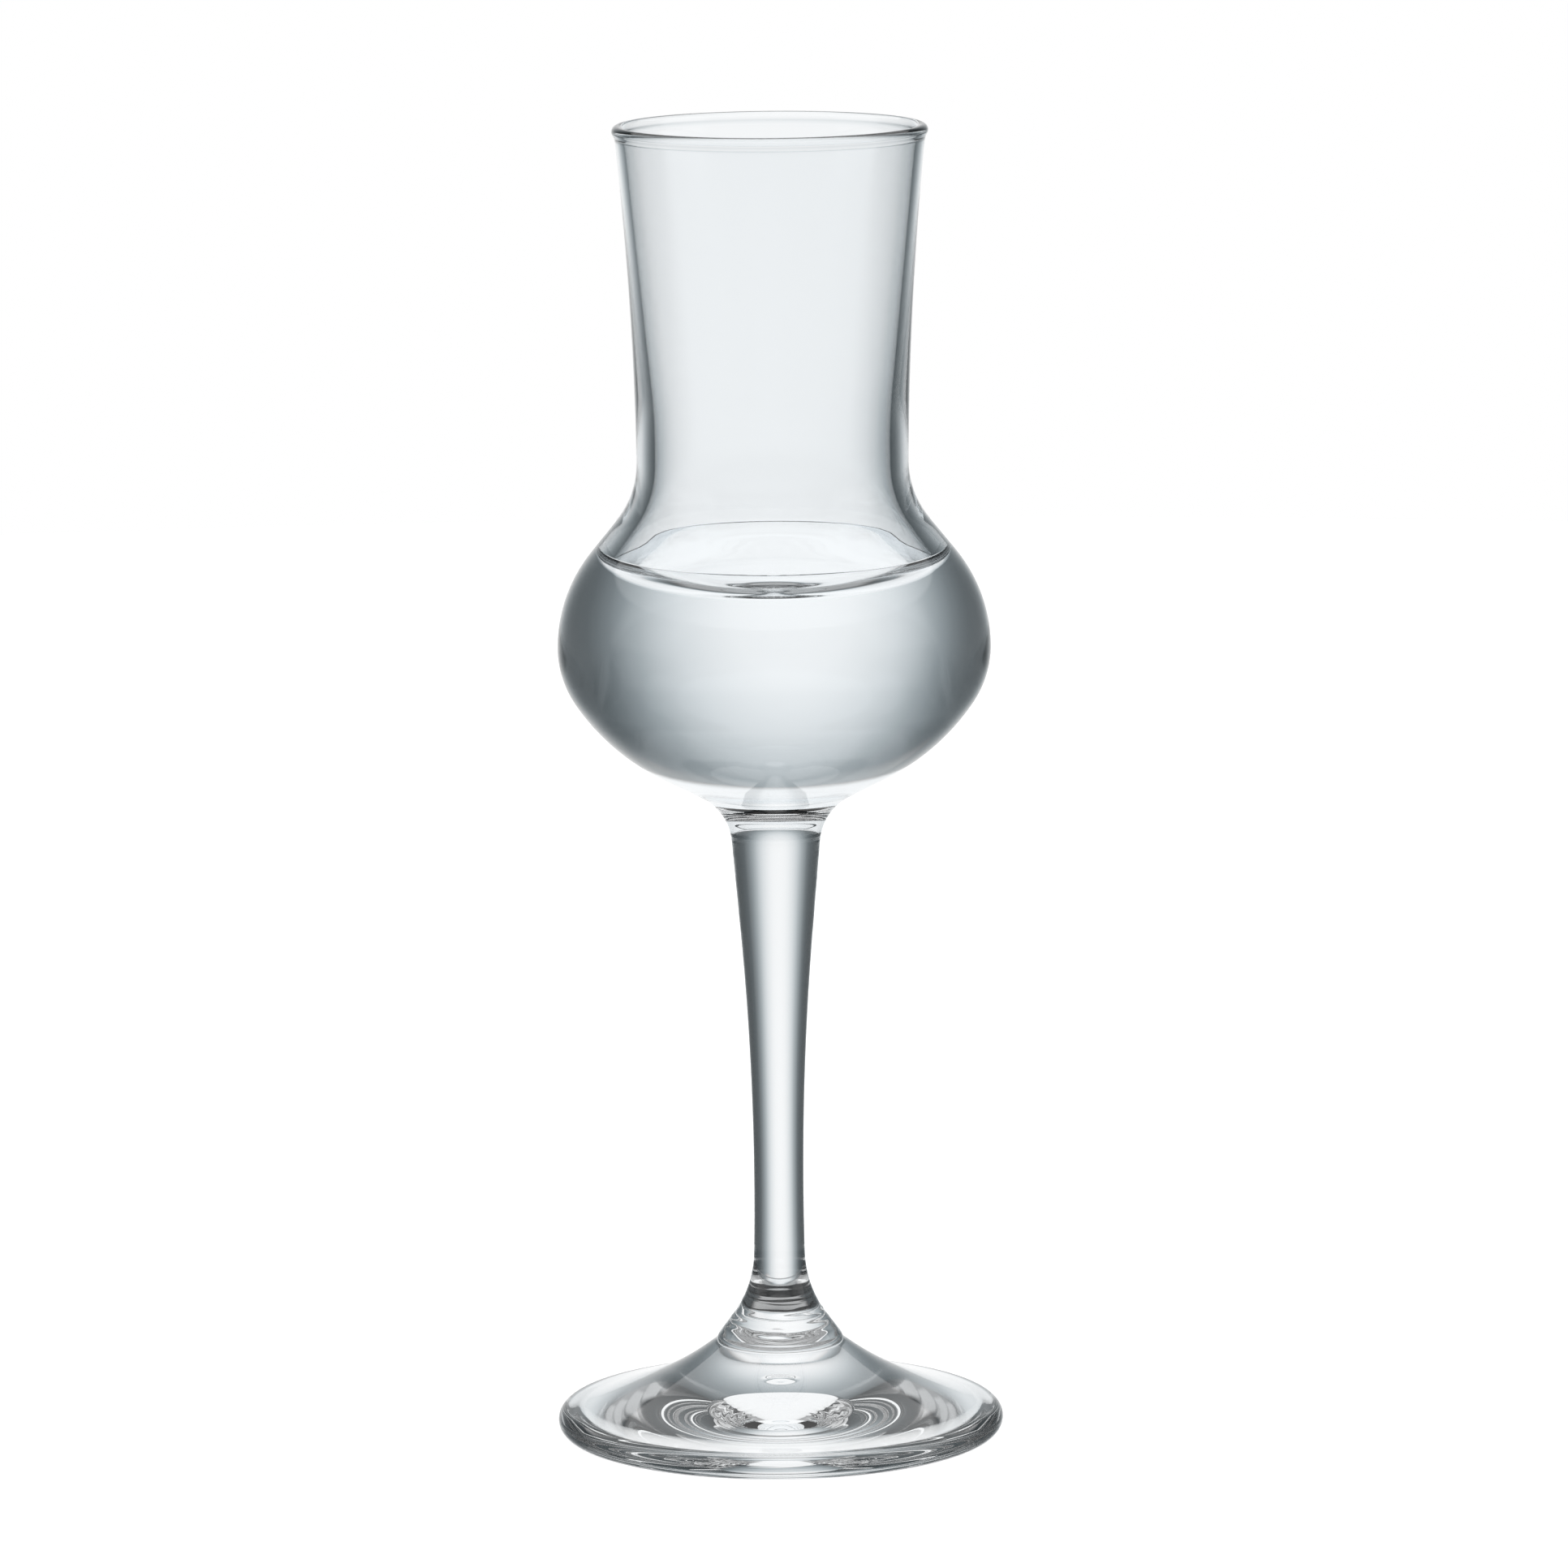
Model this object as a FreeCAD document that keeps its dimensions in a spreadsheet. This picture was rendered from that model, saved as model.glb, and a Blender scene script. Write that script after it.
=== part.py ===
import FreeCAD, Part
import os
from math import acos, atan, atan2, cos, hypot, pi, radians, sin, sqrt, tan
from types import SimpleNamespace
import Sketcher
from FreeCAD import Vector

# A grappa glass is one piece of clear glass: a tall thin neck on a squat bulb, a solid drawn stem and a round foot.
# It is turned about +Z and stands on z = 0. Its section is drawn in the XZ plane, as radius and height.
# Lengths are in millimetres, angles in degrees. A rise starts at the height where the one before it ends.
sizes = {
    # foot
    "foot_radius": 29.25,
    "foot_edge": 1.8,             # radius of the rounded edge
    "foot_arc": 44.0,             # hollow curve of the foot's top
    "rest_radius": 25.6,          # inside of the flat ring that it stands on
    "hollow_depth": 2.4,          # hollow under the foot
    "dimple_depth": 0.3,          # round mark in the middle of the hollow
    "dimple_arc": 3.8,
    # collar, where the stem is joined to the foot
    "collar_radius": 8.06,
    "collar_height": 13.0,
    "collar_step": 0.65,
    "collar_lip": 0.25,
    # stem
    "cone_angle": 36.65,          # lean of the cone above the collar
    "flare_arc": 14.6,
    "stem_waist_radius": 3.25,
    "stem_waist_rise": 19.8,      # collar to the thinnest place
    "stem_top_radius": 5.77,
    "taper_length": 12.2,         # straight stretch below the bulb
    "funnel_arc": 7.58,           # from the stem into the bulb
    # bulb
    "bulb_rise": 91.2,            # collar to the bulb's widest place
    "bulb_radius": 28.14,
    "bulb_slope": 27.5,           # rise of the bulb's underside next to the stem
    "low_arc": 29.5,
    "side_arc": 12.73,
    "side_angle": 33.9,           # turn of the side arc below the widest place
    "upper_arc": 19.45,
    "shoulder_length": 5.5,       # straight stretch between bulb and neck
    # neck
    "waist_rise": 24.2,           # widest place to the neck's waist
    "waist_radius": 17.6,
    "neck_rise": 41.5,            # waist to the neck's top
    "neck_flare": 2.35,           # how much wider the neck's top is than its waist
    "neck_arc": 440.0,
    # lip
    "bead": 0.78,                 # radius of the fire-polished bead
    "bead_rise": 1.32,            # neck's top to the middle of the bead
    "bead_overhang": 0.43,        # how far the bead stands out past the neck's top
    # inside
    "waist_wall": 2.37,
    "inner_waist_arc": 90.0,
    "bulb_wall": 3.0,
    "bowl_depth": 15.0,           # widest place to the bowl's floor
}
places = {
    "stem_waist_height": "=collar_height + stem_waist_rise",
    "bulb_height": "=collar_height + bulb_rise",
    "waist_height": "=bulb_height + waist_rise",
    "neck_height": "=waist_height + neck_rise",
    "bead_height": "=neck_height + bead_rise",
    "neck_top_radius": "=waist_radius + neck_flare",
    "bead_centre_radius": "=neck_top_radius + bead_overhang - bead",
    "floor_height": "=bulb_height - bowl_depth",
}

doc = FreeCAD.newDocument("grappa_glass")
sheet = doc.addObject("Spreadsheet::Sheet", "sizes")
for row, (name, value) in enumerate((sizes | places).items(), start=1):
    sheet.set(f"A{row}", name)
    sheet.set(f"B{row}", str(value))
    sheet.setAlias(f"B{row}", name)
doc.recompute()
size = SimpleNamespace(**{name: float(sheet.get(name)) for name in sizes | places})

body = doc.addObject("PartDesign::Body", "stem_glass")
body.Label = "stem_glass"
xz_plane = next(plane for plane in body.Origin.OriginFeatures if plane.Role == "XZ_Plane")

START, END, CENTRE = range(1, 4)
ORIGIN = (-1, 1)
UPRIGHT_AXIS = -2


def new_sketch(name):
    sketch = body.newObject("Sketcher::SketchObject", name)
    sketch.AttachmentSupport = [(xz_plane, "")]
    sketch.MapMode = "FlatFace"
    return sketch


def from_point(point, bearing, distance):
    return (point[0] + distance * cos(bearing), point[1] + distance * sin(bearing))


def bearing_of(start, end):
    return atan2(end[1] - start[1], end[0] - start[0])


def line(sketch, start, end):
    return sketch.addGeometry(Part.LineSegment(Vector(*start, 0), Vector(*end, 0)))


def arc(sketch, centre, radius, start_bearing, end_bearing):
    # the arc goes round to the left from its start
    turn = (end_bearing - start_bearing) % (2 * pi)
    circle = Part.Circle(Vector(*centre, 0), Vector(0, 0, 1), radius)
    return sketch.addGeometry(Part.ArcOfCircle(circle, start_bearing, start_bearing + turn))


def join(sketch, *ends):
    sketch.addConstraint(Sketcher.Constraint("Coincident", *ends))


def blend(sketch, *ends):
    # two curves meet end to end with no corner
    sketch.addConstraint(Sketcher.Constraint("Tangent", *ends))


def level(sketch, curve, end):
    # an arc that is upright at this end has its centre level with it
    sketch.addConstraint(Sketcher.Constraint("Horizontal", curve, CENTRE, curve, end))


def bind(sketch, name, words, kind, *what):
    # a dimension that reads the sheet
    index = sketch.addConstraint(Sketcher.Constraint(kind, *what))
    sketch.renameConstraint(index, name)
    sketch.setExpression(f"Constraints.{name}", words)


def bind_radius(sketch, curve, name, words):
    bind(sketch, name, words, "Radius", curve, sketch.Geometry[curve].Radius)


def bind_place(sketch, curve, end, name, across, up):
    # radius and height of a point of a curve, in words for the sheet
    point = sketch.getPoint(curve, end)
    bind(sketch, f"{name}_across", across, "DistanceX", *ORIGIN, curve, end, point.x)
    bind(sketch, f"{name}_up", up, "DistanceY", *ORIGIN, curve, end, point.y)


def hold_waist(sketch, point, curve, name, across, up):
    # the arc passes through this point upright
    sketch.addConstraint(Sketcher.Constraint("PointOnObject", point, START, curve))
    sketch.addConstraint(Sketcher.Constraint("Horizontal", point, START, curve, CENTRE))
    bind_place(sketch, point, START, name, across, up)


def straight_between(rise, span, length):
    # Two arcs start upright, this far apart, and bend towards each other into one straight stretch.
    # It gives the sum of their radii and the angle that each turns through.
    radii = (rise ** 2 + span ** 2 - length ** 2) / (2 * span)
    return radii, atan2(rise, radii - span) - atan(length / radii)


def outer_crossing(first, first_distance, second, second_distance):
    # of the two points at these distances from two others, the one further from the axis
    gap = hypot(second[0] - first[0], second[1] - first[1])
    along = (first_distance ** 2 - second_distance ** 2 + gap ** 2) / (2 * gap)
    across = sqrt(first_distance ** 2 - along ** 2)
    heading = bearing_of(first, second)
    middle = from_point(first, heading, along)
    return max(from_point(middle, heading + turn, across) for turn in (-pi / 2, pi / 2))


def draw_foot(sketch):
    edge_centre = (size.foot_radius - size.foot_edge, size.foot_edge)
    collar_foot = (size.collar_radius + size.collar_lip, size.collar_height - size.collar_step)
    # the hollow curve of the top runs from the collar's step into the rounded edge
    top_centre = outer_crossing(collar_foot, size.foot_arc, edge_centre, size.foot_arc + size.foot_edge)
    edge_end = bearing_of(edge_centre, top_centre)

    base = line(sketch, (0, 0), (edge_centre[0], 0))
    edge = arc(sketch, edge_centre, size.foot_edge, -pi / 2, edge_end)
    top = arc(sketch, top_centre, size.foot_arc, bearing_of(top_centre, collar_foot), edge_end + pi)
    step = line(sketch, collar_foot, (size.collar_radius, size.collar_height))
    join(sketch, base, START, *ORIGIN)
    sketch.addConstraint(Sketcher.Constraint("Horizontal", base))
    blend(sketch, base, END, edge, START)
    blend(sketch, edge, END, top, END)
    join(sketch, top, START, step, START)
    bind_radius(sketch, edge, "foot_edge", "sizes.foot_edge")
    bind(sketch, "foot_edge_across", "sizes.foot_radius - sizes.foot_edge",
         "DistanceX", *ORIGIN, edge, CENTRE, edge_centre[0])
    bind_radius(sketch, top, "foot_arc", "sizes.foot_arc")
    bind_place(sketch, step, START, "collar_foot",
               "sizes.collar_radius + sizes.collar_lip", "sizes.collar_height - sizes.collar_step")
    bind_place(sketch, step, END, "collar", "sizes.collar_radius", "sizes.collar_height")
    return step


def draw_stem(sketch, collar, side_centre):
    # The stem ends in a funnel that touches the straight underside of the bulb.
    slope, side_turn = radians(size.bulb_slope), radians(size.side_angle)
    side_end = from_point(side_centre, -side_turn, size.side_arc)
    low_centre = from_point(side_end, -side_turn, -size.low_arc)
    low_end = from_point(low_centre, slope - pi / 2, size.low_arc)
    # The top's height and its lean depend on each other, so they are worked out in turns.
    lean = 0
    for _ in range(20):
        funnel_across = size.stem_top_radius + size.funnel_arc * cos(lean)
        underside_up = low_end[1] - (low_end[0] - funnel_across) * tan(slope)
        funnel_centre = (funnel_across, underside_up - size.funnel_arc / cos(slope))
        stem_top = from_point(funnel_centre, pi - lean, size.funnel_arc)
        stem_arc, lean = straight_between(stem_top[1] - size.stem_waist_height,
                                          size.stem_top_radius - size.stem_waist_radius, size.taper_length)
    stem_centre = (size.stem_waist_radius + stem_arc, size.stem_waist_height)
    taper_start = from_point(stem_centre, pi - lean, stem_arc)
    funnel_end = from_point(funnel_centre, pi / 2 + slope, size.funnel_arc)
    # the flare touches the cone above the collar and the inside of the stem's long arc
    cone = radians(size.cone_angle)
    collar_top = (size.collar_radius, size.collar_height)
    low_flare = from_point(collar_top, cone, size.flare_arc)
    gap = hypot(low_flare[0] - stem_centre[0], low_flare[1] - stem_centre[1])
    along = gap * cos(bearing_of(stem_centre, low_flare) - cone - pi / 2)
    cone_length = sqrt(along ** 2 - gap ** 2 + (stem_arc - size.flare_arc) ** 2) - along
    cone_end = from_point(collar_top, cone + pi / 2, cone_length)
    flare_centre = from_point(cone_end, cone, size.flare_arc)
    flare_bearing = bearing_of(stem_centre, flare_centre)

    cone_line = line(sketch, collar_top, cone_end)
    flare = arc(sketch, flare_centre, size.flare_arc, flare_bearing, pi + cone)
    stem = arc(sketch, stem_centre, stem_arc, pi - lean, flare_bearing)
    taper = line(sketch, taper_start, stem_top)
    funnel = arc(sketch, funnel_centre, size.funnel_arc, pi / 2 + slope, pi - lean)
    underside = line(sketch, funnel_end, low_end)
    low = arc(sketch, low_centre, size.low_arc, slope - pi / 2, -side_turn)
    waist = sketch.addGeometry(Part.Point(Vector(size.stem_waist_radius, size.stem_waist_height, 0)), True)
    join(sketch, collar, END, cone_line, START)
    blend(sketch, cone_line, END, flare, END)
    blend(sketch, flare, START, stem, END)
    blend(sketch, stem, START, taper, START)
    blend(sketch, taper, END, funnel, END)
    blend(sketch, funnel, START, underside, START)
    blend(sketch, underside, END, low, START)
    bind(sketch, "cone_angle", "90 deg + sizes.cone_angle * 1 deg", "Angle", cone_line, pi / 2 + cone)
    bind_radius(sketch, flare, "flare_arc", "sizes.flare_arc")
    hold_waist(sketch, waist, stem, "stem_waist", "sizes.stem_waist_radius", "sizes.stem_waist_height")
    bind(sketch, "taper_length", "sizes.taper_length", "Distance", taper, size.taper_length)
    bind(sketch, "stem_top_across", "sizes.stem_top_radius",
         "DistanceX", *ORIGIN, taper, END, size.stem_top_radius)
    bind_radius(sketch, funnel, "funnel_arc", "sizes.funnel_arc")
    bind(sketch, "bulb_slope", "sizes.bulb_slope * 1 deg", "Angle", underside, slope)
    bind_radius(sketch, low, "low_arc", "sizes.low_arc")
    return low


def draw_bulb(sketch, low, side_centre, upper_centre):
    # The shoulder's arc runs on past the waist, where it is upright, and into the neck.
    radii, turn = straight_between(size.waist_rise, size.bulb_radius - size.waist_radius, size.shoulder_length)
    shoulder_arc = radii - size.upper_arc
    shoulder_centre = (size.waist_radius + shoulder_arc, size.waist_height)
    neck_top = (size.neck_top_radius, size.neck_height)
    neck_centre = outer_crossing(shoulder_centre, size.neck_arc - shoulder_arc, neck_top, size.neck_arc)
    neck_start = bearing_of(neck_centre, shoulder_centre)

    side = arc(sketch, side_centre, size.side_arc, -radians(size.side_angle), 0)
    upper = arc(sketch, upper_centre, size.upper_arc, 0, turn)
    slant = line(sketch, from_point(upper_centre, turn, size.upper_arc),
                 from_point(shoulder_centre, turn, -shoulder_arc))
    shoulder = arc(sketch, shoulder_centre, shoulder_arc, neck_start, pi + turn)
    neck = arc(sketch, neck_centre, size.neck_arc, bearing_of(neck_centre, neck_top), neck_start)
    waist = sketch.addGeometry(Part.Point(Vector(size.waist_radius, size.waist_height, 0)), True)
    blend(sketch, low, END, side, START)
    join(sketch, side, END, upper, START)
    blend(sketch, upper, END, slant, START)
    blend(sketch, slant, END, shoulder, END)
    blend(sketch, shoulder, START, neck, END)
    level(sketch, side, END)
    level(sketch, upper, START)
    bind_radius(sketch, side, "side_arc", "sizes.side_arc")
    bind(sketch, "side_angle", "sizes.side_angle * 1 deg", "Angle", side, radians(size.side_angle))
    bind_place(sketch, side, END, "bulb", "sizes.bulb_radius", "sizes.bulb_height")
    bind_radius(sketch, upper, "upper_arc", "sizes.upper_arc")
    bind(sketch, "shoulder_length", "sizes.shoulder_length", "Distance", slant, size.shoulder_length)
    hold_waist(sketch, waist, shoulder, "waist", "sizes.waist_radius", "sizes.waist_height")
    bind_radius(sketch, neck, "neck_arc", "sizes.neck_arc")
    bind_place(sketch, neck, START, "neck_top", "sizes.neck_top_radius", "sizes.neck_height")
    return side, upper, neck


def draw_lip(sketch, neck):
    # the root of the bead leaves the neck smoothly and touches the bead
    neck_top = (size.neck_top_radius, size.neck_height)
    bead_centre = (size.bead_centre_radius, size.bead_height)
    neck_centre = sketch.getPoint(neck, CENTRE)
    outwards = bearing_of(neck_top, neck_centre)
    gap = hypot(neck_top[0] - bead_centre[0], neck_top[1] - bead_centre[1])
    overhang = size.bead - gap * cos(bearing_of(bead_centre, neck_top) - outwards)
    root_arc = (gap ** 2 - size.bead ** 2) / (2 * overhang)
    root_centre = from_point(neck_top, outwards, root_arc)
    root_bearing = bearing_of(root_centre, bead_centre)
    # the straight inner wall of the neck touches the bead and the inner waist
    inner_radius = size.waist_radius - size.waist_wall
    inner_centre = (inner_radius + size.inner_waist_arc, size.waist_height)
    gap = hypot(bead_centre[0] - inner_centre[0], bead_centre[1] - inner_centre[1])
    inwards = bearing_of(inner_centre, bead_centre) + acos((size.inner_waist_arc - size.bead) / gap)

    root = arc(sketch, root_centre, root_arc, root_bearing, outwards + pi)
    bead = arc(sketch, bead_centre, size.bead, root_bearing + pi, inwards)
    wall = line(sketch, from_point(bead_centre, inwards, size.bead),
                from_point(inner_centre, inwards, size.inner_waist_arc))
    inner_waist = arc(sketch, inner_centre, size.inner_waist_arc, inwards, pi)
    blend(sketch, neck, START, root, END)
    blend(sketch, root, START, bead, START)
    blend(sketch, bead, END, wall, START)
    blend(sketch, wall, END, inner_waist, START)
    level(sketch, inner_waist, END)
    bind_radius(sketch, bead, "bead", "sizes.bead")
    bind_place(sketch, bead, CENTRE, "bead", "sizes.bead_centre_radius", "sizes.bead_height")
    bind_radius(sketch, inner_waist, "inner_waist_arc", "sizes.inner_waist_arc")
    bind_place(sketch, inner_waist, END, "inner_waist",
               "sizes.waist_radius - sizes.waist_wall", "sizes.waist_height")
    return inner_waist


def draw_bowl(sketch, inner_waist, side, upper, side_centre, upper_centre):
    # Inside, the bulb follows its outside at the wall's thickness down to the floor, which is one wide arc.
    inner_bulb = size.bulb_radius - size.bulb_wall
    inner_neck = size.waist_radius - size.waist_wall
    inner_upper_arc, inner_side_arc = size.upper_arc - size.bulb_wall, size.side_arc - size.bulb_wall
    radii, turn = straight_between(size.waist_rise, inner_bulb - inner_neck, size.shoulder_length)
    shoulder_arc = radii - inner_upper_arc
    shoulder_centre = (inner_neck + shoulder_arc, size.waist_height)
    floor_arc = ((side_centre[0] ** 2 + size.bowl_depth ** 2 - inner_side_arc ** 2)
                 / (2 * (size.bowl_depth - inner_side_arc)))
    floor_centre = (0, size.floor_height + floor_arc)
    floor_end = bearing_of(floor_centre, side_centre)

    shoulder = arc(sketch, shoulder_centre, shoulder_arc, pi, pi + turn)
    slant = line(sketch, from_point(shoulder_centre, turn, -shoulder_arc),
                 from_point(upper_centre, turn, inner_upper_arc))
    inner_upper = arc(sketch, upper_centre, inner_upper_arc, 0, turn)
    inner_side = arc(sketch, side_centre, inner_side_arc, floor_end, 0)
    floor = arc(sketch, floor_centre, floor_arc, -pi / 2, floor_end)
    axis = line(sketch, (0, size.floor_height), (0, 0))
    join(sketch, inner_waist, END, shoulder, START)
    blend(sketch, shoulder, END, slant, START)
    blend(sketch, slant, END, inner_upper, END)
    join(sketch, inner_upper, START, inner_side, END)
    blend(sketch, inner_side, START, floor, END)
    join(sketch, floor, START, axis, START)
    join(sketch, axis, END, *ORIGIN)
    level(sketch, shoulder, START)
    bind(sketch, "inner_shoulder_length", "sizes.shoulder_length", "Distance", slant, size.shoulder_length)
    join(sketch, inner_upper, CENTRE, upper, CENTRE)
    level(sketch, inner_upper, START)
    bind_radius(sketch, inner_upper, "inner_upper_arc", "sizes.upper_arc - sizes.bulb_wall")
    join(sketch, inner_side, CENTRE, side, CENTRE)
    sketch.addConstraint(Sketcher.Constraint("PointOnObject", floor, CENTRE, UPRIGHT_AXIS))
    bind_place(sketch, floor, START, "floor", "0", "sizes.floor_height")


def draw_cap(sketch, radius, top, top_words):
    # half of the section of a round cap that stands on z = 0
    depth = radius - top
    reach = sqrt(radius ** 2 - depth ** 2)
    cap = arc(sketch, (0, -depth), radius, atan2(depth, reach), pi / 2)
    axis = line(sketch, (0, top), (0, 0))
    base = line(sketch, (0, 0), (reach, 0))
    join(sketch, cap, END, axis, START)
    join(sketch, axis, END, *ORIGIN)
    join(sketch, base, START, *ORIGIN)
    join(sketch, base, END, cap, START)
    sketch.addConstraint(Sketcher.Constraint("Vertical", axis))
    sketch.addConstraint(Sketcher.Constraint("Horizontal", base))
    sketch.addConstraint(Sketcher.Constraint("PointOnObject", cap, CENTRE, UPRIGHT_AXIS))
    bind(sketch, "top", top_words, "DistanceY", *ORIGIN, cap, END, top)
    return cap


def turned(feature_type, name, sketch):
    feature = body.newObject(feature_type, name)
    feature.Profile = sketch
    feature.ReferenceAxis = (sketch, ["V_Axis"])
    feature.Angle = 360
    sketch.Visibility = False
    return feature


section = new_sketch("section")
side_middle = (size.bulb_radius - size.side_arc, size.bulb_height)
upper_middle = (size.bulb_radius - size.upper_arc, size.bulb_height)
collar_curve = draw_foot(section)
low_curve = draw_stem(section, collar_curve, side_middle)
side_curve, upper_curve, neck_curve = draw_bulb(section, low_curve, side_middle, upper_middle)
inner_curve = draw_lip(section, neck_curve)
draw_bowl(section, inner_curve, side_curve, upper_curve, side_middle, upper_middle)
glass = turned("PartDesign::Revolution", "glass", section)

# under the foot: a shallow hollow inside the ring, with a small round dimple in its middle
hollow_section = new_sketch("hollow_section")
hollow_arc = (size.rest_radius ** 2 + size.hollow_depth ** 2) / (2 * size.hollow_depth)
hollow_cap = draw_cap(hollow_section, hollow_arc, size.hollow_depth, "sizes.hollow_depth")
bind(hollow_section, "rest_radius", "sizes.rest_radius",
     "DistanceX", *ORIGIN, hollow_cap, START, size.rest_radius)
hollow = turned("PartDesign::Groove", "hollow", hollow_section)
dimple_section = new_sketch("dimple_section")
dimple_cap = draw_cap(dimple_section, size.dimple_arc, size.hollow_depth + size.dimple_depth,
                      "sizes.hollow_depth + sizes.dimple_depth")
bind_radius(dimple_section, dimple_cap, "dimple_arc", "sizes.dimple_arc")
dimple = turned("PartDesign::Groove", "dimple", dimple_section)
doc.recompute()

for sketch in (section, hollow_section, dimple_section):
    if sketch.solve() != 0 or not sketch.FullyConstrained:
        raise RuntimeError(f"{sketch.Name} isn't fully constrained")
for item in doc.Objects:
    if "Invalid" in item.State or "Error" in item.State:
        raise RuntimeError(f"{item.Name} didn't recompute: {item.State}")
for item in (glass, hollow, dimple, body):
    if item.Shape.isNull() or not item.Shape.isValid() or len(item.Shape.Solids) != 1:
        raise RuntimeError(f"{item.Name} isn't one valid solid")
if not dimple.Shape.Volume < hollow.Shape.Volume < glass.Shape.Volume:
    raise RuntimeError("a groove under the foot doesn't cut")

os.makedirs("parts", exist_ok=True)
body.Shape.exportStep("parts/stem_glass.step")
box = body.Shape.optimalBoundingBox()
print("height", round(box.ZLength, 3), "width", round(box.XLength, 3), "volume", round(body.Shape.Volume, 1))
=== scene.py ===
from math import acos, asin, atan, atan2, cos, hypot, pi, radians, sin, sqrt, tan

import bmesh
import bpy
from mathutils import Matrix, Vector, noise


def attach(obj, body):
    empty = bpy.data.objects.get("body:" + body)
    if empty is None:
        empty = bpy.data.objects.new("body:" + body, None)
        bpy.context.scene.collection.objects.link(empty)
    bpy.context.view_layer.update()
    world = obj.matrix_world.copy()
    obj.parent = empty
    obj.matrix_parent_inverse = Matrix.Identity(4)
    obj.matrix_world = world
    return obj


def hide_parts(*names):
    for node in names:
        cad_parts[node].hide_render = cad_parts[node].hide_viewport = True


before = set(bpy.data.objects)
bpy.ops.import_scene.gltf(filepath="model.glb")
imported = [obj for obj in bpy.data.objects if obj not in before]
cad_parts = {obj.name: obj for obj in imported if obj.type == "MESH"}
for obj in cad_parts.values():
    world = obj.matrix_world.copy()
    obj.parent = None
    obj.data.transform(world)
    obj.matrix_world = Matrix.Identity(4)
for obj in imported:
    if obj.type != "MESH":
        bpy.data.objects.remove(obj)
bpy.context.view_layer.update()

mm = 0.001
weldDistance = 0.0005   # points closer than this, in mm, are one
turnStep = radians(4)   # the most that an arc turns between two of its points
hair = 0.1              # mm, for telling faces apart by their height


# section helpers, in millimetres: a point is (radius, height)

def fromPoint(point, bearing, distance):
    return (point[0] + distance * cos(bearing), point[1] + distance * sin(bearing))


def bearingOf(start, end):
    return atan2(end[1] - start[1], end[0] - start[0])


def nearTurn(angle):
    # the same turn, from minus a half to a half
    return (angle + pi) % (2 * pi) - pi


def straightBetween(rise, span, length):
    # two arcs that start upright and bend towards each other into one straight stretch: sum of radii, turn
    radii = (rise ** 2 + span ** 2 - length ** 2) / (2 * span)
    return radii, atan2(rise, radii - span) - atan(length / radii)


def outerCrossing(first, firstDistance, second, secondDistance):
    gap = hypot(second[0] - first[0], second[1] - first[1])
    along = (firstDistance ** 2 - secondDistance ** 2 + gap ** 2) / (2 * gap)
    across = sqrt(firstDistance ** 2 - along ** 2)
    heading = bearingOf(first, second)
    middle = fromPoint(first, heading, along)
    return max(fromPoint(middle, heading + turn, across) for turn in (-pi / 2, pi / 2))


class Pen:
    # draws a section as a wire in the XZ plane, by spinning and extruding its last point
    def __init__(self, start, stepLength=1.0, stepTurn=turnStep):
        self.mesh = bmesh.new()
        self.point = self.mesh.verts.new((start[0], 0, start[1]))
        self.stepLength, self.stepTurn = stepLength, stepTurn

    def arc(self, centre, turn):
        # a positive turn goes round to the left
        radius = hypot(self.point.co.x - centre[0], self.point.co.z - centre[1])
        steps = max(2, round(abs(turn) / self.stepTurn), round(abs(turn) * radius / self.stepLength))
        made = bmesh.ops.spin(self.mesh, geom=[self.point], cent=(centre[0], 0, centre[1]), axis=(0, -1, 0),
                              angle=turn, steps=steps, use_merge=False)
        self.point = next(item for item in made["geom_last"] if isinstance(item, bmesh.types.BMVert))

    def line(self, end):
        start = self.point.co.copy()
        goal = Vector((end[0], 0, end[1]))
        steps = max(1, round((goal - start).length / self.stepLength))
        for step in range(steps):
            made = bmesh.ops.extrude_vert_indiv(self.mesh, verts=[self.point])
            self.point = made["verts"][0]
            self.point.co = start.lerp(goal, (step + 1) / steps)

    def turned(self, steps):
        # a full turn about the axis, with the poles and the seam closed
        bmesh.ops.spin(self.mesh, geom=self.mesh.verts[:] + self.mesh.edges[:], cent=(0, 0, 0),
                       axis=(0, 0, 1), angle=2 * pi, steps=steps, use_merge=True)
        bmesh.ops.remove_doubles(self.mesh, verts=self.mesh.verts, dist=weldDistance)
        bmesh.ops.recalc_face_normals(self.mesh, faces=self.mesh.faces)
        return self.mesh


def finishPiece(name, mesh, materials):
    # millimetres to metres, smooth faces, and into the scene at the origin
    bmesh.ops.scale(mesh, vec=(mm, mm, mm), verts=mesh.verts)
    data = bpy.data.meshes.new(name)
    for face in mesh.faces:
        face.smooth = True
    mesh.to_mesh(data)
    mesh.free()
    for material in materials:
        data.materials.append(material)
    piece = bpy.data.objects.new(name, data)
    bpy.context.scene.collection.objects.link(piece)
    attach(piece, "root")
    print("made", name, len(data.polygons), "faces")
    return piece


# materials

glassLook = {
    "tint": (0.957, 0.975, 0.986),
    "index": 1.52,
    "spiritIndex": 1.36,
    "spiritTint": (1.0, 1.0, 1.0),
}


def mathNode(tree, operation, *values):
    node = tree.nodes.new("ShaderNodeMath")
    node.operation = operation
    for socket, value in zip(node.inputs, values):
        if isinstance(value, (int, float)):
            socket.default_value = value
        else:
            tree.links.new(value, socket)
    return node.outputs[0]


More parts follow.
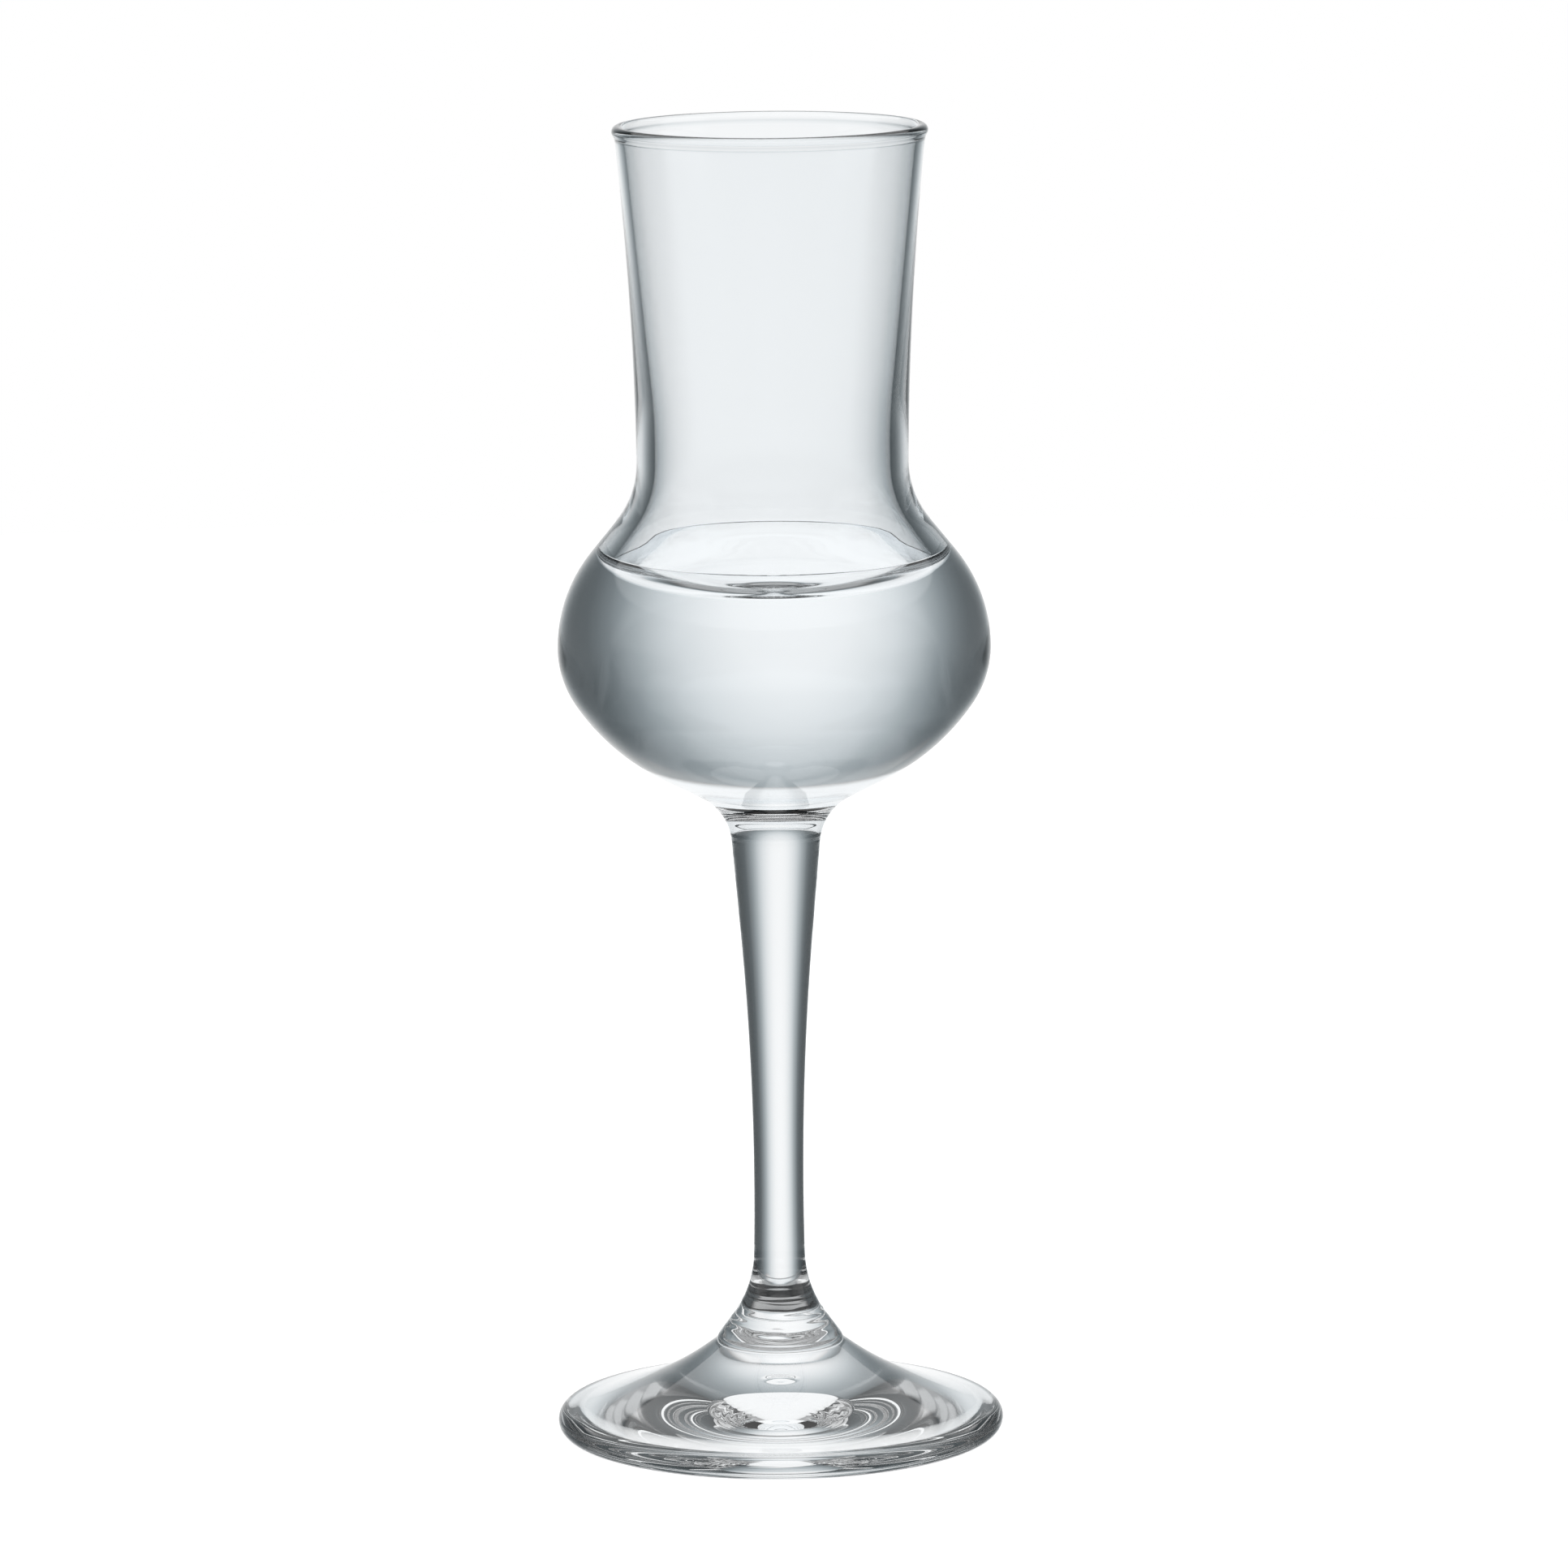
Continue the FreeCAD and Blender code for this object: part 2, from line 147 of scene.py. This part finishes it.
def clearMaterial(name, tint, index):
    material = bpy.data.materials.new(name)
    material.use_nodes = True
    shader = material.node_tree.nodes["Principled BSDF"]
    shader.inputs["Base Color"].default_value = (*tint, 1)
    shader.inputs["Roughness"].default_value = 0
    shader.inputs["IOR"].default_value = index
    shader.inputs["Transmission Weight"].default_value = 1
    return material


dryGlass = clearMaterial("clearGlass", glassLook["tint"], glassLook["index"])
wetGlass = clearMaterial("wetGlass", glassLook["tint"], glassLook["index"] / glassLook["spiritIndex"])
spiritTop = clearMaterial("spiritTop", glassLook["spiritTint"], glassLook["spiritIndex"])
spiritSide = clearMaterial("spiritSide", glassLook["spiritTint"], 1.0)
print("materials made")


# the glass

glass = {
    "footRadius": 29.25, "footEdge": 1.8, "footArc": 44.0,
    "restRadius": 25.6, "hollowDepth": 2.4, "dimpleDepth": 0.3, "dimpleArc": 3.8,
    "collarRadius": 8.06, "collarHeight": 13.0, "collarStep": 0.65, "collarLip": 0.25,
    "coneAngle": 36.65, "flareArc": 14.6,
    "stemWaistRadius": 3.25, "stemWaistHeight": 32.8, "stemTopRadius": 5.77, "taperLength": 12.2,
    "funnelArc": 7.58, "bulbHeight": 104.2, "bulbRadius": 28.14, "bulbSlope": 27.5,
    "lowArc": 29.5, "sideArc": 12.73, "sideAngle": 33.9, "upperArc": 19.45, "shoulderLength": 5.5,
    "waistRise": 24.2, "waistRadius": 17.6, "neckRise": 41.5, "neckFlare": 2.35, "neckArc": 440.0,
    "bead": 0.78, "beadRise": 1.32, "beadOverhang": 0.43,
    "waistWall": 2.37, "innerWaistArc": 90.0, "bulbWall": 3.0, "bowlDepth": 15.0,
    # steps round the axis, and the longest step along each stretch of the section
    "turnSteps": 200,
    "footStep": 0.6, "ringStep": 0.22, "stemStep": 1.2, "funnelStep": 0.5,
    "bulbStep": 1.2, "insideStep": 1.0,
}
ripple = {   # the rings above the collar
    "low": 13.6, "high": 18.6, "reach": 12.0,
    "pitch": 1.15, "depth": 0.05,
    "wander": 0.12, "waves": 4.0,   # how far a ring strays up and down, and how often
    "lean": 0.1,
    "patches": 1.3,                 # how fast its depth changes on the way round
    "seed": 3.0,
}
spirit = {
    "contactHeight": 115.8,   # where its edge stands on the inner wall
    "rimTilt": 88.0,          # lean of its raised rim at the wall
    "rimArc": 4.4,
    "clearance": 0.03,
    "turnSteps": 160,
    "rimStep": 0.2, "levelStep": 1.5,
    "levelFace": 0.98,        # a face that points up at least so much is its level top
}


def sectionPlaces(sizes):
    # the centres and turns that the glass and the spirit share
    places = {}
    slope, side = radians(sizes["bulbSlope"]), radians(sizes["sideAngle"])
    places["side"] = (sizes["bulbRadius"] - sizes["sideArc"], sizes["bulbHeight"])
    places["upper"] = (sizes["bulbRadius"] - sizes["upperArc"], sizes["bulbHeight"])
    sideEnd = fromPoint(places["side"], -side, sizes["sideArc"])
    places["low"] = fromPoint(sideEnd, -side, -sizes["lowArc"])
    places["lowEnd"] = fromPoint(places["low"], slope - pi / 2, sizes["lowArc"])
    lean = 0
    # the taper leans with the height of its end, and that height with the lean
    for attempt in range(20):
        across = sizes["stemTopRadius"] + sizes["funnelArc"] * cos(lean)
        up = places["lowEnd"][1] - (places["lowEnd"][0] - across) * tan(slope)
        places["funnel"] = (across, up - sizes["funnelArc"] / cos(slope))
        places["stemTop"] = fromPoint(places["funnel"], pi - lean, sizes["funnelArc"])
        rise = places["stemTop"][1] - sizes["stemWaistHeight"]
        span = sizes["stemTopRadius"] - sizes["stemWaistRadius"]
        stemArc, lean = straightBetween(rise, span, sizes["taperLength"])
    places["lean"] = lean
    places["stem"] = (sizes["stemWaistRadius"] + stemArc, sizes["stemWaistHeight"])
    # cone and flare
    cone = radians(sizes["coneAngle"])
    collar = (sizes["collarRadius"], sizes["collarHeight"])
    lowFlare = fromPoint(collar, cone, sizes["flareArc"])
    gap = hypot(lowFlare[0] - places["stem"][0], lowFlare[1] - places["stem"][1])
    along = gap * cos(bearingOf(places["stem"], lowFlare) - cone - pi / 2)
    coneLength = sqrt(along ** 2 - gap ** 2 + (stemArc - sizes["flareArc"]) ** 2) - along
    places["coneEnd"] = fromPoint(collar, cone + pi / 2, coneLength)
    places["flare"] = fromPoint(places["coneEnd"], cone, sizes["flareArc"])
    # foot
    places["edge"] = (sizes["footRadius"] - sizes["footEdge"], sizes["footEdge"])
    places["collarFoot"] = (sizes["collarRadius"] + sizes["collarLip"],
                            sizes["collarHeight"] - sizes["collarStep"])
    places["footTop"] = outerCrossing(places["collarFoot"], sizes["footArc"],
                                      places["edge"], sizes["footArc"] + sizes["footEdge"])
    # shoulder and neck
    waistHeight = sizes["bulbHeight"] + sizes["waistRise"]
    span = sizes["bulbRadius"] - sizes["waistRadius"]
    radii, places["turn"] = straightBetween(sizes["waistRise"], span, sizes["shoulderLength"])
    shoulderArc = radii - sizes["upperArc"]
    places["shoulder"] = (sizes["waistRadius"] + shoulderArc, waistHeight)
    places["slantEnd"] = fromPoint(places["shoulder"], places["turn"], -shoulderArc)
    places["neckTop"] = (sizes["waistRadius"] + sizes["neckFlare"], waistHeight + sizes["neckRise"])
    places["neck"] = outerCrossing(places["shoulder"], sizes["neckArc"] - shoulderArc,
                                   places["neckTop"], sizes["neckArc"])
    # bead
    places["bead"] = (places["neckTop"][0] + sizes["beadOverhang"] - sizes["bead"],
                      places["neckTop"][1] + sizes["beadRise"])
    outwards = bearingOf(places["neckTop"], places["neck"])
    gap = hypot(places["neckTop"][0] - places["bead"][0], places["neckTop"][1] - places["bead"][1])
    overhang = sizes["bead"] - gap * cos(bearingOf(places["bead"], places["neckTop"]) - outwards)
    rootArc = (gap ** 2 - sizes["bead"] ** 2) / (2 * overhang)
    places["root"] = fromPoint(places["neckTop"], outwards, rootArc)
    # inside
    innerWaist = sizes["waistRadius"] - sizes["waistWall"]
    places["innerWaist"] = (innerWaist + sizes["innerWaistArc"], waistHeight)
    gap = hypot(places["bead"][0] - places["innerWaist"][0], places["bead"][1] - places["innerWaist"][1])
    places["inwards"] = acos((sizes["innerWaistArc"] - sizes["bead"]) / gap)
    places["inwards"] += bearingOf(places["innerWaist"], places["bead"])
    places["wallEnd"] = fromPoint(places["innerWaist"], places["inwards"], sizes["innerWaistArc"])
    span = sizes["bulbRadius"] - sizes["bulbWall"] - innerWaist
    radii, places["innerTurn"] = straightBetween(sizes["waistRise"], span, sizes["shoulderLength"])
    places["innerUpperArc"] = sizes["upperArc"] - sizes["bulbWall"]
    places["innerSideArc"] = sizes["sideArc"] - sizes["bulbWall"]
    places["innerShoulder"] = (innerWaist + radii - places["innerUpperArc"], waistHeight)
    depth, sideArc = sizes["bowlDepth"], places["innerSideArc"]
    places["floorArc"] = (places["side"][0] ** 2 + depth ** 2 - sideArc ** 2) / (2 * (depth - sideArc))
    places["floor"] = (0, sizes["bulbHeight"] - sizes["bowlDepth"] + places["floorArc"])
    places["floorEnd"] = bearingOf(places["floor"], places["side"])
    return places


def addRipple(mesh, rings):
    # soft uneven rings that the hot joining left
    for vert in mesh.verts:
        radius, height = hypot(vert.co.x, vert.co.y), vert.co.z
        share = (height - rings["low"]) / (rings["high"] - rings["low"])
        if not 0 < share < 1 or radius > rings["reach"] or radius < 0.5:
            continue
        aside = Vector((vert.co.x, vert.co.y, 0)) / radius
        stray = noise.noise(aside * rings["waves"] + Vector((rings["seed"], 0, height * 0.25)))
        wave = rings["wander"] * stray + rings["lean"] * aside.x
        swell = 0.5 + noise.noise(aside * rings["patches"] + Vector((0, rings["seed"], height * 0.6)))
        fade = sin(pi * share) ** 0.7
        depth = rings["depth"] * swell * fade * sin(2 * pi * (height + wave) / rings["pitch"])
        vert.co += aside * depth


def makeGlass(sizes, places):
    hollowArc = (sizes["restRadius"] ** 2 + sizes["hollowDepth"] ** 2) / (2 * sizes["hollowDepth"])
    hollow = (0, sizes["hollowDepth"] - hollowArc)
    dimple = (0, sizes["hollowDepth"] + sizes["dimpleDepth"] - sizes["dimpleArc"])
    meetHeight = (sizes["dimpleArc"] ** 2 - hollowArc ** 2 - dimple[1] ** 2 + hollow[1] ** 2) / (
        2 * (hollow[1] - dimple[1]))
    dimpleTurn = acos((meetHeight - dimple[1]) / sizes["dimpleArc"])
    hollowTurn = asin(sizes["restRadius"] / hollowArc) - acos((meetHeight - hollow[1]) / hollowArc)
    edgeEnd = bearingOf(places["edge"], places["footTop"])
    slope, side = radians(sizes["bulbSlope"]), radians(sizes["sideAngle"])
    cone = radians(sizes["coneAngle"])
    flareTop = bearingOf(places["stem"], places["flare"])
    neckStart = bearingOf(places["neck"], places["shoulder"])
    neckEnd = bearingOf(places["neck"], places["neckTop"])
    rootStart = bearingOf(places["root"], places["bead"])

    pen = Pen((0, sizes["hollowDepth"] + sizes["dimpleDepth"]), sizes["footStep"])
    pen.arc(dimple, -dimpleTurn)
    pen.arc(hollow, -hollowTurn)
    pen.line((places["edge"][0], 0))
    pen.arc(places["edge"], edgeEnd + pi / 2)
    pen.arc(places["footTop"], bearingOf(places["footTop"], places["collarFoot"]) - (edgeEnd - pi))
    pen.line((sizes["collarRadius"], sizes["collarHeight"]))
    pen.stepLength, pen.stepTurn = sizes["ringStep"], turnStep / 2
    pen.line(places["coneEnd"])
    pen.arc(places["flare"], nearTurn(flareTop - (pi + cone)))
    pen.stepLength, pen.stepTurn = sizes["stemStep"], turnStep
    pen.arc(places["stem"], nearTurn(pi - places["lean"] - flareTop))
    pen.line(places["stemTop"])
    pen.stepLength = sizes["funnelStep"]
    pen.arc(places["funnel"], places["lean"] - pi / 2 + slope)
    pen.line(places["lowEnd"])
    pen.stepLength = sizes["bulbStep"]
    pen.arc(places["low"], pi / 2 - slope - side)
    pen.arc(places["side"], side)
    pen.arc(places["upper"], places["turn"])
    pen.line(places["slantEnd"])
    pen.arc(places["shoulder"], nearTurn(neckStart - (pi + places["turn"])))
    pen.arc(places["neck"], nearTurn(neckEnd - neckStart))
    pen.arc(places["root"], nearTurn(rootStart - neckEnd))
    pen.arc(places["bead"], (places["inwards"] - rootStart - pi) % (2 * pi))
    pen.line(places["wallEnd"])
    pen.arc(places["innerWaist"], pi - places["inwards"])
    pen.arc(places["innerShoulder"], places["innerTurn"])
    pen.stepLength = sizes["insideStep"]
    pen.line(fromPoint(places["upper"], places["innerTurn"], places["innerUpperArc"]))
    pen.arc(places["upper"], -places["innerTurn"])
    pen.arc(places["side"], places["floorEnd"])
    pen.arc(places["floor"], -pi / 2 - places["floorEnd"])
    mesh = pen.turned(sizes["turnSteps"])
    addRipple(mesh, ripple)
    bmesh.ops.bisect_plane(mesh, geom=mesh.verts[:] + mesh.edges[:] + mesh.faces[:], dist=weldDistance,
                           plane_co=(0, 0, spirit["contactHeight"]), plane_no=(0, 0, 1))
    mesh.normal_update()
    # the inner wall and the floor below the spirit's edge are wet
    bowlFloor = sizes["bulbHeight"] - sizes["bowlDepth"]
    for face in mesh.faces:
        middle = face.calc_center_median()
        outward = face.normal.x * middle.x + face.normal.y * middle.y
        inside = outward < 0 or hypot(middle.x, middle.y) < 1
        if bowlFloor - hair < middle.z < spirit["contactHeight"] and inside:
            face.material_index = 1
    piece = finishPiece("stem_glass_clear", mesh, (dryGlass, wetGlass))
    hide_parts("stem_glass")
    return piece


def makeSpirit(sizes, places):
    # the spirit follows the inner wall a hair's breadth away, and climbs it in a raised rim
    gap = sizes["clearance"]
    upperArc, floorArc = places["innerUpperArc"] - gap, places["floorArc"] - gap
    pen = Pen((0, places["floor"][1] - floorArc))
    pen.arc(places["floor"], places["floorEnd"] + pi / 2)
    pen.arc(places["side"], -places["floorEnd"])
    pen.arc(places["upper"], places["innerTurn"])
    start = fromPoint(places["upper"], places["innerTurn"], upperArc)
    rise = sizes["contactHeight"] - start[1]
    edge = (start[0] - rise * tan(places["innerTurn"]), sizes["contactHeight"])
    pen.line(edge)
    tilt = radians(sizes["rimTilt"])
    centre = (edge[0] - sizes["rimArc"] * sin(tilt), edge[1] + sizes["rimArc"] * cos(tilt))
    level = centre[1] - sizes["rimArc"]
    pen.stepLength = sizes["rimStep"]
    pen.arc(centre, -tilt)
    pen.stepLength = sizes["levelStep"]
    pen.line((0, level))
    mesh = pen.turned(sizes["turnSteps"])
    mesh.normal_update()
    for face in mesh.faces:
        middle = face.calc_center_median()
        outward = face.normal.x * middle.x + face.normal.y * middle.y
        face.material_index = 1   # it touches the glass, but for its top and its rim
        if middle.z > level - hair and (outward < 0 or face.normal.z > sizes["levelFace"]):
            face.material_index = 0
    return finishPiece("clear_spirit", mesh, (spiritTop, spiritSide))


places = sectionPlaces(glass)
makeGlass(glass, places)
makeSpirit(spirit, places)


# studio

studio = {
    "cameraPlace": (1.12, -1130.0, 272.73),
    "cameraPitch": 9.38,
    "cameraRoll": -0.49,
    "lens": 202.14,
    "sensor": 36.0,
    "floorRadius": 900.0,
    "floorGlow": 0.8,
    "floorColour": (0.6, 0.6, 0.6),
    # the backdrop behind the glass is brightest a little to the left and below the horizon
    "glowAround": -2.4,
    "glowRise": -12.0,
    "glowHeight": 0.62,
    # it ends on the table, close to the foot
    "nearTable": -55.0,
    "nearFade": 6.0,
    # brightness by degrees away from there, and the bluish tint of its dark parts
    "glowStops": ((0, 1.02), (4, 1.01), (8, 0.975), (12, 0.89), (16, 0.78), (20, 0.625), (24, 0.45),
                  (28, 0.32), (32, 0.22), (36, 0.16), (40, 0.12), (48, 0.09), (60, 0.07), (80, 0.05),
                  (110, 0.01), (180, 0.01)),
    "darkTint": (0.86, 1.01, 1.08),
    # the softbox overhead, by height over the horizon
    "overheadStops": ((26.5, 0.0), (29, 1.0)),
    # the pale walls at both sides, by height and by how far they reach to the back and the front
    "wallStops": ((-3, 0.0), (7, 0.66)),
    "wallBack": ((0.2, 0.0), (-0.02, 1.0)),
    "wallFront": ((-0.8, 0.0), (-0.5, 1.0)),
    # the rest of the room, from the sides round behind the camera
    "roomStops": ((-30, 0.0), (-18, 0.4)),
    "roomBack": ((0.1, 0.0), (-0.12, 1.0)),
    # the table under the glass, behind its axis
    "underStops": ((-58, 0.0), (-66, 0.38)),
    "underBack": ((-0.05, 0.0), (0.1, 1.0)),
    # the pale table behind the glass
    "tableStops": ((-22, 0.0), (-36, 0.9)),
    "tableNear": ((-62, 0.0), (-54, 1.0)),
    "tableSide": ((34, 0.0), (16, 1.0)),
}


def makeCamera():
    data = bpy.data.cameras.new("camera")
    data.lens, data.sensor_width, data.sensor_fit = studio["lens"], studio["sensor"], "HORIZONTAL"
    data.clip_start, data.clip_end = 0.01, 50.0
    camera = bpy.data.objects.new("camera", data)
    pitch = Matrix.Rotation(radians(90 - studio["cameraPitch"]), 4, "X")
    roll = Matrix.Rotation(radians(studio["cameraRoll"]), 4, "Z")
    camera.matrix_world = Matrix.Translation(Vector(studio["cameraPlace"]) * mm) @ pitch @ roll
    bpy.context.scene.collection.objects.link(camera)
    bpy.context.scene.camera = camera


def makeWorld():
    world = bpy.data.worlds.new("studio")
    bpy.context.scene.world = world
    world.use_nodes = True
    tree = world.node_tree
    tree.nodes.clear()
    direction = tree.nodes.new("ShaderNodeTexCoord").outputs["Generated"]
    split = tree.nodes.new("ShaderNodeSeparateXYZ")
    tree.links.new(direction, split.inputs[0])
    x, y, z = split.outputs
    around = mathNode(tree, "ARCTAN2", x, y)
    aside = mathNode(tree, "SUBTRACT", around, radians(studio["glowAround"]))
    rise = mathNode(tree, "ARCSINE", z)
    above = mathNode(tree, "MAXIMUM", mathNode(tree, "SUBTRACT", rise, radians(studio["glowRise"])), 0.0)
    above = mathNode(tree, "MULTIPLY", above, studio["glowHeight"])
    below = mathNode(tree, "MAXIMUM", mathNode(tree, "SUBTRACT", radians(studio["nearTable"]), rise), 0.0)
    below = mathNode(tree, "MULTIPLY", below, studio["nearFade"])
    away = mathNode(tree, "MULTIPLY", aside, aside)
    away = mathNode(tree, "ADD", away, mathNode(tree, "MULTIPLY", above, above))
    away = mathNode(tree, "ADD", away, mathNode(tree, "MULTIPLY", below, below))
    away = mathNode(tree, "SQRT", away)
    node = tree.nodes.new("ShaderNodeValToRGB")
    ramp = node.color_ramp
    while len(ramp.elements) < len(studio["glowStops"]):
        ramp.elements.new(0.5)
    for element, (angle, light) in zip(ramp.elements, studio["glowStops"]):
        shade = max(0, 1 - light)
        element.position = angle / 180
        element.color = (*(light * (1 - shade + shade * tint) for tint in studio["darkTint"]), 1)
    tree.links.new(mathNode(tree, "DIVIDE", away, pi), node.inputs[0])

    def fadeOf(value, start, end):
        fade = tree.nodes.new("ShaderNodeMapRange")
        fade.interpolation_type = "SMOOTHSTEP"
        tree.links.new(value, fade.inputs["Value"])
        fade.inputs["From Min"].default_value, fade.inputs["To Min"].default_value = start
        fade.inputs["From Max"].default_value, fade.inputs["To Max"].default_value = end
        return fade.outputs["Result"]

    def byHeight(name):
        return fadeOf(rise, *[(radians(angle), light) for angle, light in studio[name]])

    def both(first, second):
        return mathNode(tree, "MULTIPLY", first, second)

    sideways = fadeOf(mathNode(tree, "ABSOLUTE", around),
                      *[(radians(angle), light) for angle, light in studio["tableSide"]])
    overhead = byHeight("overheadStops")
    walls = both(byHeight("wallStops"), fadeOf(y, *studio["wallBack"]))
    walls = both(walls, fadeOf(y, *studio["wallFront"]))
    table = both(both(byHeight("tableStops"), byHeight("tableNear")), sideways)
    room = both(byHeight("roomStops"), fadeOf(y, *studio["roomBack"]))
    under = both(byHeight("underStops"), fadeOf(y, *studio["underBack"]))
    light = node.outputs[0]
    for other in (overhead, walls, table, room, under):
        lighter = tree.nodes.new("ShaderNodeMix")
        lighter.data_type, lighter.blend_type = "RGBA", "LIGHTEN"
        lighter.inputs["Factor"].default_value = 1
        tree.links.new(light, lighter.inputs["A"])
        tree.links.new(other, lighter.inputs["B"])
        light = lighter.outputs["Result"]
    # the camera sees plain white, the glass sees the studio
    glow = tree.nodes.new("ShaderNodeBackground")
    tree.links.new(light, glow.inputs["Color"])
    white = tree.nodes.new("ShaderNodeBackground")
    path = tree.nodes.new("ShaderNodeLightPath")
    choose = tree.nodes.new("ShaderNodeMixShader")
    white.inputs["Color"].default_value = (1, 1, 1, 1)
    tree.links.new(path.outputs["Is Camera Ray"], choose.inputs[0])
    tree.links.new(glow.outputs[0], choose.inputs[1])
    tree.links.new(white.outputs[0], choose.inputs[2])
    tree.links.new(choose.outputs[0], tree.nodes.new("ShaderNodeOutputWorld").inputs[0])


def makeFloor():
    mesh = bmesh.new()
    bmesh.ops.create_circle(mesh, cap_ends=True, segments=96, radius=studio["floorRadius"] * mm)
    data = bpy.data.meshes.new("floor")
    mesh.to_mesh(data)
    mesh.free()
    floor = bpy.data.objects.new("floor", data)
    bpy.context.scene.collection.objects.link(floor)
    material = bpy.data.materials.new("paleTable")
    material.use_nodes = True
    tree = material.node_tree
    tree.nodes.clear()
    glow = tree.nodes.new("ShaderNodeEmission")
    matt = tree.nodes.new("ShaderNodeBsdfDiffuse")
    both = tree.nodes.new("ShaderNodeAddShader")
    clear = tree.nodes.new("ShaderNodeBsdfTransparent")
    choose = tree.nodes.new("ShaderNodeMixShader")
    path = tree.nodes.new("ShaderNodeLightPath")
    glow.inputs["Strength"].default_value = studio["floorGlow"]
    matt.inputs["Color"].default_value = (*studio["floorColour"], 1)
    tree.links.new(glow.outputs[0], both.inputs[0])
    tree.links.new(matt.outputs[0], both.inputs[1])
    tree.links.new(path.outputs["Is Camera Ray"], choose.inputs[0])
    tree.links.new(clear.outputs[0], choose.inputs[1])
    tree.links.new(both.outputs[0], choose.inputs[2])
    tree.links.new(choose.outputs[0], tree.nodes.new("ShaderNodeOutputMaterial").inputs[0])
    data.materials.append(material)


makeCamera()
makeWorld()
makeFloor()
scene = bpy.context.scene
scene.view_settings.view_transform = "Standard"
scene.cycles.max_bounces = 32
scene.cycles.transmission_bounces = 32
scene.cycles.glossy_bounces = 12
print("studio made")
